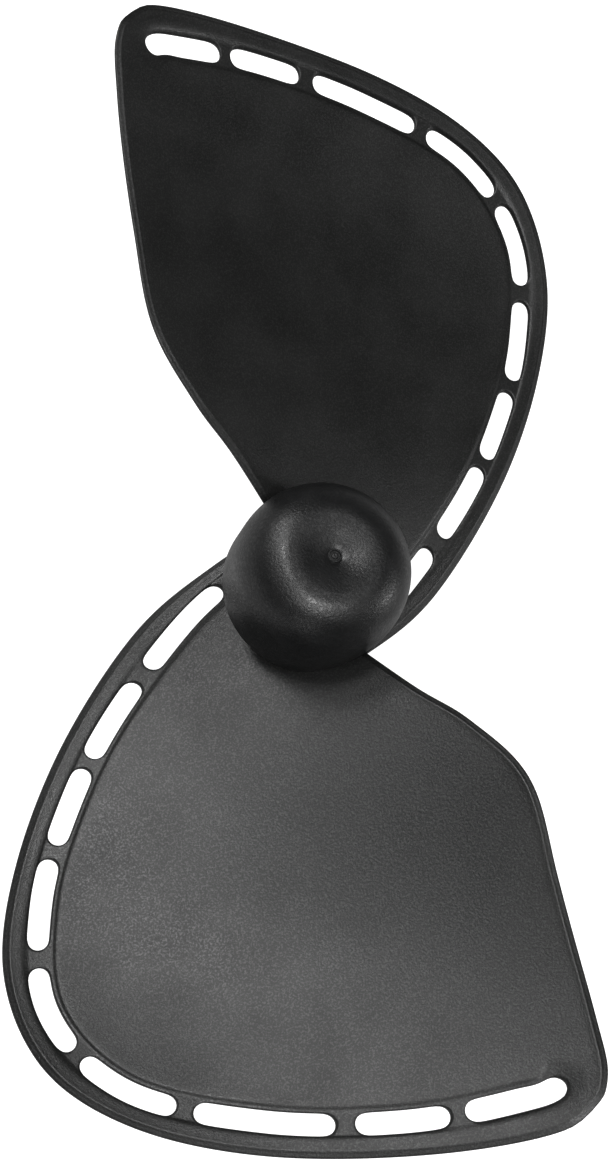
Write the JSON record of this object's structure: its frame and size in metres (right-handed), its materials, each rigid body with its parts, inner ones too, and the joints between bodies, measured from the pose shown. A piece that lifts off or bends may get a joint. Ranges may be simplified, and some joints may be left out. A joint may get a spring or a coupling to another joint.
{
  "type": "two-blade fan propeller",
  "caption": "Soft-bladed push-on propeller for a small cabin fan: wide slotted blades set in a domed hub with a bushed shaft bore and a grub screw.",
  "frame": {"origin": "middle of the hub's rear face, on the shaft line, at the mouth of the shaft bore", "axes": "+Z along the shaft line out of the nose, +Y along the blades"},
  "size_m": [0.0968, 0.1754, 0.0444],
  "materials": {
    "hub_plastic": "satin moulded black plastic",
    "core_plastic": "fine-textured black nylon",
    "bush_brass": "turned brass",
    "screw_steel": "black-oxide steel",
    "blade_soft": "fine spark-eroded grain in soft black moulding"
  },
  "bodies": {
    "hub": {"nose_cap": "hub_plastic", "hub_core": "core_plastic", "shaft_bush": "bush_brass", "grub_screw": "screw_steel"},
    "soft_blade_a": {"blade_a": "blade_soft"},
    "soft_blade_b": {"blade_b": "blade_soft"}
  },
  "joints": [
    {"name": "blade_a_flex", "type": "hinge", "parent": "hub", "child": "soft_blade_a", "pos_m": [0.002, 0.002, 0.01215], "axis": [0.6118, -0.5818, -0.5358], "range_deg": [-8, 8], "stiffness_Nm_per_rad": 0.25},
    {"name": "blade_b_flex", "type": "hinge", "parent": "hub", "child": "soft_blade_b", "pos_m": [-0.002, -0.002, 0.01215], "axis": [-0.6118, 0.5818, -0.5358], "range_deg": [-8, 8], "stiffness_Nm_per_rad": 0.25}
  ]
}
